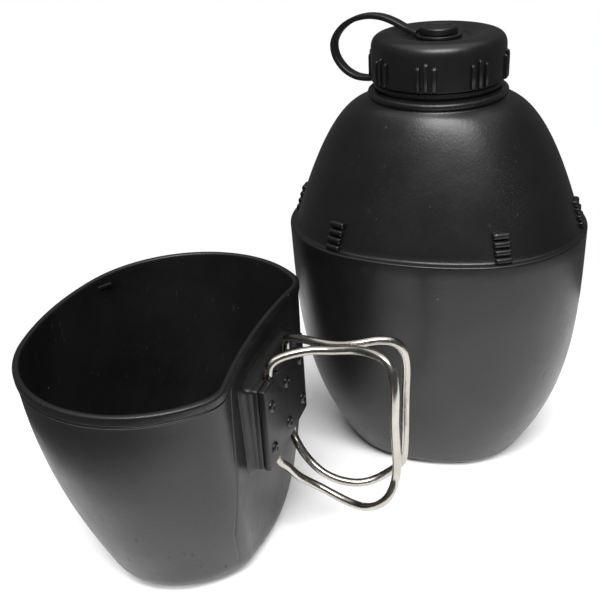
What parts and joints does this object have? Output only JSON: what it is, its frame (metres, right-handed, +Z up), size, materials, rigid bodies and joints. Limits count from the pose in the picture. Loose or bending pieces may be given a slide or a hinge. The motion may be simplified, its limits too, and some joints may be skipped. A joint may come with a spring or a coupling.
{
  "type": "canteen",
  "caption": "Kidney-shaped belt water bottle with a tethered screw cap, and the nesting mug that caps it, with a pair of folding wire handles.",
  "frame": {"origin": "on the bottle's flat base, straight below the middle of its widest section; the mug stands on the same level to the front left", "axes": "+Z up through the neck, -Y towards the bottle's convex front, +X to the bottle's right as seen from the front"},
  "size_m": [0.2132, 0.195, 0.2032],
  "materials": {
    "bottle": "moulded, semi-gloss with a fine grain",
    "cap": "moulded, semi-gloss",
    "strap": "flexible moulded plastic, satin",
    "seal": "smooth",
    "mug": "moulded, satin outside and smoother inside",
    "plate": "black, satin",
    "rivet": "black, semi-gloss",
    "wire": "bright drawn stainless steel wire"
  },
  "bodies": {
    "bottle": {"bottle_shell": "bottle", "retaining_strap": "strap"},
    "cap_carrier": {"cap_seal": "seal"},
    "cap": {"cap_shell": "cap", "strap_button": "cap"},
    "mug": {"mug_cup": "mug", "hinge_plate": "plate", "plate_rivets": "rivet"},
    "front_wire": {"front_handle": "wire"},
    "rear_wire": {"rear_handle": "wire"}
  },
  "joints": [
    {"name": "cap_lift", "type": "slide", "parent": "bottle", "child": "cap_carrier", "axis": [0, 0, 1], "range_m": [0, 0.015], "deforming": ["retaining_strap"]},
    {"name": "cap_turn", "type": "hinge", "parent": "cap_carrier", "child": "cap", "pos_m": [0, 0.0028, 0.188], "axis": [0, 0, 1], "range_deg": [0, 901]},
    {"name": "mug_lift", "type": "slide", "parent": "bottle", "child": "mug", "axis": [0, 0, 1], "range_m": [0, 0.25]},
    {"name": "front_handle_fold", "type": "hinge", "parent": "mug", "child": "front_wire", "pos_m": [-0.0472, -0.0954, 0.0687], "axis": [0, 0, -1], "range_deg": [0, 105]},
    {"name": "rear_handle_fold", "type": "hinge", "parent": "mug", "child": "rear_wire", "pos_m": [-0.0472, -0.0742, 0.0687], "axis": [0, 0, 1], "range_deg": [0, 24]}
  ],
  "couplings": [
    {"joint": "cap_turn", "follows": "cap_lift", "rad_per_m": 1047.2}
  ]
}
